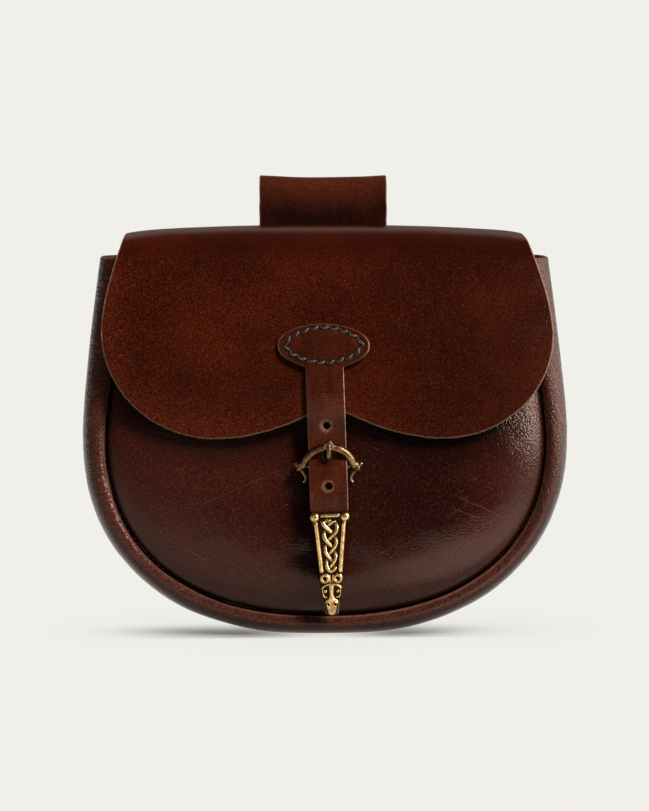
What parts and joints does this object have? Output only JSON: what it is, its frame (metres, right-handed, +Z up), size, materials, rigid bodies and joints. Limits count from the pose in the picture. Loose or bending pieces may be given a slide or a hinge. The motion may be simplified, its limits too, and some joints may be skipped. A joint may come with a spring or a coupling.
{
  "type": "belt bag",
  "caption": "Leather belt bag: turned pouch with rolled gusset, two-lobed flap, closing strap with buckle and cast strap end, and a belt loop behind.",
  "frame": {"origin": "on the ground under the middle of the bag as it stands", "axes": "+X to the right as seen from the front, the front faces -Y, +Z up"},
  "size_m": [0.1874, 0.0777, 0.1767],
  "materials": {
    "grained_leather": "fine pebbled grain, satin, raw tan cut edge",
    "smooth_leather": "smooth, dark, waxed gloss",
    "strap_leather": "smooth, satin",
    "dark_brass": "antiqued, brown patina",
    "golden_brass": "polished relief with black recesses"
  },
  "bodies": {
    "root": {"back_and_flap": "grained_leather", "front_panel": "smooth_leather", "gusset": "smooth_leather", "belt_loop": "grained_leather", "closing_strap": "strap_leather", "buckle_tab": "strap_leather", "buckle_tongue": "dark_brass", "buckle_frame": "dark_brass", "strap_end": "golden_brass"}
  },
  "joints": []
}
